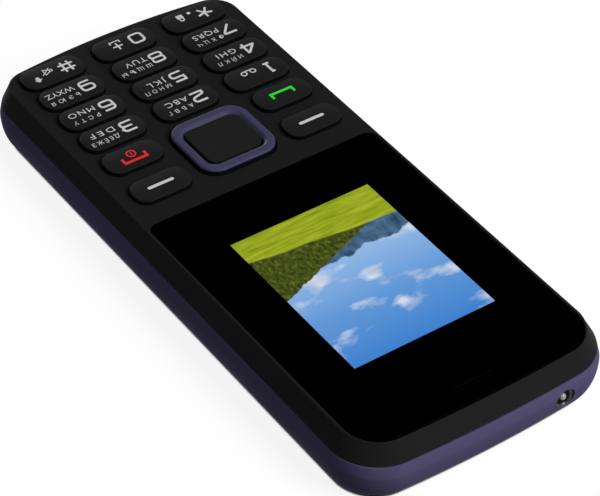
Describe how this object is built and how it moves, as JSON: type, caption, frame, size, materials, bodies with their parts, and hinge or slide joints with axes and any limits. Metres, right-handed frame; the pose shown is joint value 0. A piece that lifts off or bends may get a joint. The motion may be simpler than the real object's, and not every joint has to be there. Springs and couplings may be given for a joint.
{
  "type": "mobile phone",
  "caption": "Slim bar phone with a raised keypad, square four-way ring, colour display under a gloss window, end torch and a wrap-round lift-off cover.",
  "frame": {"origin": "under the middle of the body, on the surface that the phone rests on with its keys up", "axes": "+Y towards the earpiece end, +Z out of the keypad face, +X to the right of someone reading the display"},
  "size_m": [0.0518, 0.1167, 0.0131],
  "materials": {
    "black_plastic": "fine matt black moulding",
    "key_plastic": "satin black moulding",
    "purple_plastic": "matt blue-purple moulding",
    "window_plastic": "gloss acrylic, black behind, clear over the display",
    "display_glass": "lit colour display",
    "silicone": "translucent grey silicone",
    "circuit_board": "green solder mask",
    "sheet_steel": "tinned sheet steel",
    "gold_contacts": "gold plated",
    "flex_film": "amber polyimide film",
    "battery_wrap": "dark grey printed wrap over the cell's aluminium case",
    "led_epoxy": "clear epoxy",
    "lens_glass": "dark coated lens cover"
  },
  "bodies": {
    "phone_body": {"front_housing": "black_plastic", "display_window": "window_plastic", "display_module": "display_glass", "display_flex": "flex_film", "earpiece_receiver": "sheet_steel", "earpiece_mesh": "sheet_steel", "keypad_mat": "silicone", "dome_sheet": "sheet_steel", "main_board": "circuit_board", "shield_can": "sheet_steel", "sim_holder_1": "sheet_steel", "sim_holder_2": "sheet_steel", "memory_card_holder": "sheet_steel", "battery_contacts": "gold_contacts", "usb_socket": "sheet_steel", "headphone_socket": "black_plastic", "microphone": "sheet_steel", "vibration_motor": "sheet_steel", "loudspeaker": "black_plastic", "camera_module": "black_plastic", "torch_led": "led_epoxy", "antenna": "gold_contacts", "rear_housing": "black_plastic", "screw_1": "sheet_steel", "screw_2": "sheet_steel", "screw_3": "sheet_steel", "screw_4": "sheet_steel"},
    "key_1": {"key_1": "key_plastic"},
    "key_2": {"key_2": "key_plastic"},
    "key_3": {"key_3": "key_plastic"},
    "key_4": {"key_4": "key_plastic"},
    "key_5": {"key_5": "key_plastic"},
    "key_6": {"key_6": "key_plastic"},
    "key_7": {"key_7": "key_plastic"},
    "key_8": {"key_8": "key_plastic"},
    "key_9": {"key_9": "key_plastic"},
    "key_star": {"key_star": "key_plastic"},
    "key_0": {"key_0": "key_plastic"},
    "key_hash": {"key_hash": "key_plastic"},
    "key_soft_left": {"key_soft_left": "key_plastic"},
    "key_soft_right": {"key_soft_right": "key_plastic"},
    "key_call": {"key_call": "key_plastic"},
    "key_end": {"key_end": "key_plastic"},
    "key_centre": {"key_centre": "key_plastic"},
    "nav_rocker": {"nav_rocker": "silicone"},
    "nav_ring": {"nav_ring": "purple_plastic"},
    "battery": {"battery": "battery_wrap"},
    "battery_cover": {"battery_cover": "purple_plastic", "camera_window": "lens_glass"}
  },
  "joints": [
    {"name": "key_1_press", "type": "slide", "parent": "phone_body", "child": "key_1", "axis": [0, 0, -1], "range_m": [0, 0.00035], "stiffness_N_per_m": 4000},
    {"name": "key_2_press", "type": "slide", "parent": "phone_body", "child": "key_2", "axis": [0, 0, -1], "range_m": [0, 0.00035], "stiffness_N_per_m": 4000},
    {"name": "key_3_press", "type": "slide", "parent": "phone_body", "child": "key_3", "axis": [0, 0, -1], "range_m": [0, 0.00035], "stiffness_N_per_m": 4000},
    {"name": "key_4_press", "type": "slide", "parent": "phone_body", "child": "key_4", "axis": [0, 0, -1], "range_m": [0, 0.00035], "stiffness_N_per_m": 4000},
    {"name": "key_5_press", "type": "slide", "parent": "phone_body", "child": "key_5", "axis": [0, 0, -1], "range_m": [0, 0.00035], "stiffness_N_per_m": 4000},
    {"name": "key_6_press", "type": "slide", "parent": "phone_body", "child": "key_6", "axis": [0, 0, -1], "range_m": [0, 0.00035], "stiffness_N_per_m": 4000},
    {"name": "key_7_press", "type": "slide", "parent": "phone_body", "child": "key_7", "axis": [0, 0, -1], "range_m": [0, 0.00035], "stiffness_N_per_m": 4000},
    {"name": "key_8_press", "type": "slide", "parent": "phone_body", "child": "key_8", "axis": [0, 0, -1], "range_m": [0, 0.00035], "stiffness_N_per_m": 4000},
    {"name": "key_9_press", "type": "slide", "parent": "phone_body", "child": "key_9", "axis": [0, 0, -1], "range_m": [0, 0.00035], "stiffness_N_per_m": 4000},
    {"name": "key_star_press", "type": "slide", "parent": "phone_body", "child": "key_star", "axis": [0, 0, -1], "range_m": [0, 0.00035], "stiffness_N_per_m": 4000},
    {"name": "key_0_press", "type": "slide", "parent": "phone_body", "child": "key_0", "axis": [0, 0, -1], "range_m": [0, 0.00035], "stiffness_N_per_m": 4000},
    {"name": "key_hash_press", "type": "slide", "parent": "phone_body", "child": "key_hash", "axis": [0, 0, -1], "range_m": [0, 0.00035], "stiffness_N_per_m": 4000},
    {"name": "key_soft_left_press", "type": "slide", "parent": "phone_body", "child": "key_soft_left", "axis": [0, 0, -1], "range_m": [0, 0.00035], "stiffness_N_per_m": 4000},
    {"name": "key_soft_right_press", "type": "slide", "parent": "phone_body", "child": "key_soft_right", "axis": [0, 0, -1], "range_m": [0, 0.00035], "stiffness_N_per_m": 4000},
    {"name": "key_call_press", "type": "slide", "parent": "phone_body", "child": "key_call", "axis": [0, 0, -1], "range_m": [0, 0.00035], "stiffness_N_per_m": 4000},
    {"name": "key_end_press", "type": "slide", "parent": "phone_body", "child": "key_end", "axis": [0, 0, -1], "range_m": [0, 0.00035], "stiffness_N_per_m": 4000},
    {"name": "key_centre_press", "type": "slide", "parent": "phone_body", "child": "key_centre", "axis": [0, 0, -1], "range_m": [0, 0.00035], "stiffness_N_per_m": 4000},
    {"name": "nav_up_down", "type": "hinge", "parent": "phone_body", "child": "nav_rocker", "pos_m": [0, -0.01926, 0.01005], "axis": [1, 0, 0], "range_deg": [-1.4, 1.4], "stiffness_Nm_per_rad": 0.4},
    {"name": "nav_left_right", "type": "hinge", "parent": "nav_rocker", "child": "nav_ring", "pos_m": [0, -0.01926, 0.01005], "axis": [0, 1, 0], "range_deg": [-1.4, 1.4], "stiffness_Nm_per_rad": 0.4},
    {"name": "cover_lift", "type": "slide", "parent": "phone_body", "child": "battery_cover", "axis": [0, 0, -1], "range_m": [0, 0.02]},
    {"name": "battery_lift", "type": "slide", "parent": "phone_body", "child": "battery", "axis": [0, 0, -1], "range_m": [0, 0.01]}
  ],
  "couplings": [
    {"joint": "battery_lift", "follows": "cover_lift", "ratio": 0.5}
  ]
}
